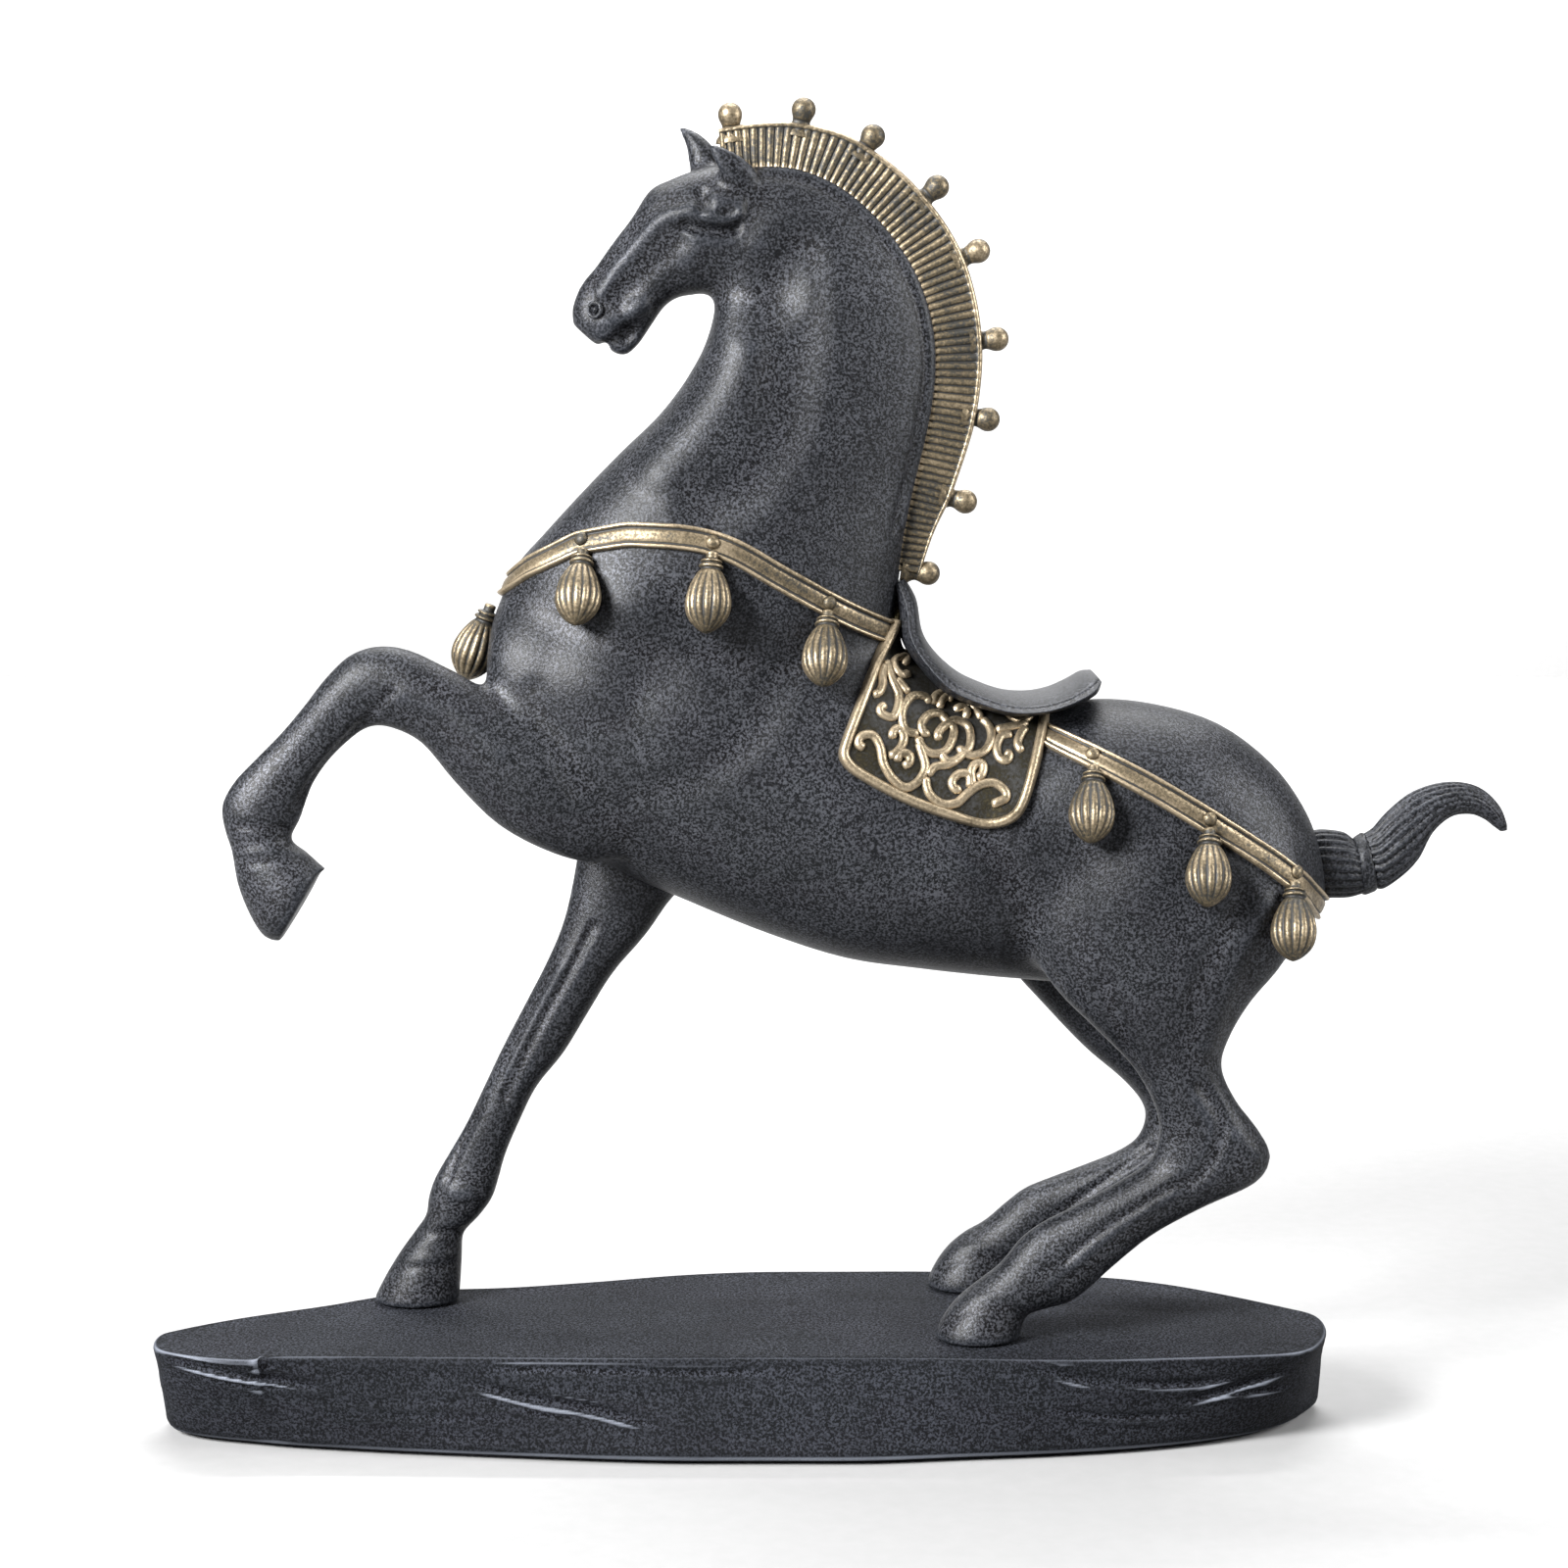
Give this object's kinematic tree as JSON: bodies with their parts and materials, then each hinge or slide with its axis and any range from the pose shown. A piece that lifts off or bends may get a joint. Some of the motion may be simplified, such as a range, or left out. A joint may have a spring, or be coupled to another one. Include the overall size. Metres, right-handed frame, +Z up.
{
  "type": "rearing horse statuette",
  "caption": "Statuette of a rearing horse in parade harness with a roached mane, saddle and tasselled straps, standing on a long rock plinth.",
  "frame": {"origin": "centre of the felt pad's underside, on the surface it stands on", "axes": "-X the way the horse faces, +Z up, +Y to the horse's right"},
  "size_m": [0.386, 0.0974, 0.3785],
  "materials": {
    "black_casting": "matte black patina with a fine grey speckle, over cast bronze",
    "black_rock": "matte black patina, rough rock texture",
    "antique_gilt": "antique gold rubbed over black",
    "dark_gilt": "dark antique gold, stippled",
    "felt": "black felt",
    "steel": "zinc-plated"
  },
  "bodies": {
    "root": {"rock_plinth": "black_rock", "felt_pad": "felt", "torso_casting": "black_casting", "neck_casting": "black_casting", "head_casting": "black_casting", "left_ear": "black_casting", "right_ear": "black_casting", "left_foreleg": "black_casting", "right_foreleg": "black_casting", "left_hind_leg": "black_casting", "right_hind_leg": "black_casting", "tail_dock": "black_casting", "tail_tie": "black_casting", "tail_plume": "black_casting", "mane_comb": "antique_gilt", "mane_balls": "antique_gilt", "breast_strap": "antique_gilt", "breast_rivets": "antique_gilt", "breast_tassels": "antique_gilt", "saddle_seat": "black_casting", "saddle_cloth": "dark_gilt", "cloth_border": "antique_gilt", "left_scrollwork": "antique_gilt", "right_scrollwork": "antique_gilt", "crupper_strap": "antique_gilt", "crupper_rivets": "antique_gilt", "crupper_tassels": "antique_gilt", "hoof_studs": "steel", "stud_washers": "steel", "stud_nuts": "steel", "head_dowel": "steel", "foreleg_dowel": "steel", "tail_dowel": "steel"}
  },
  "joints": []
}
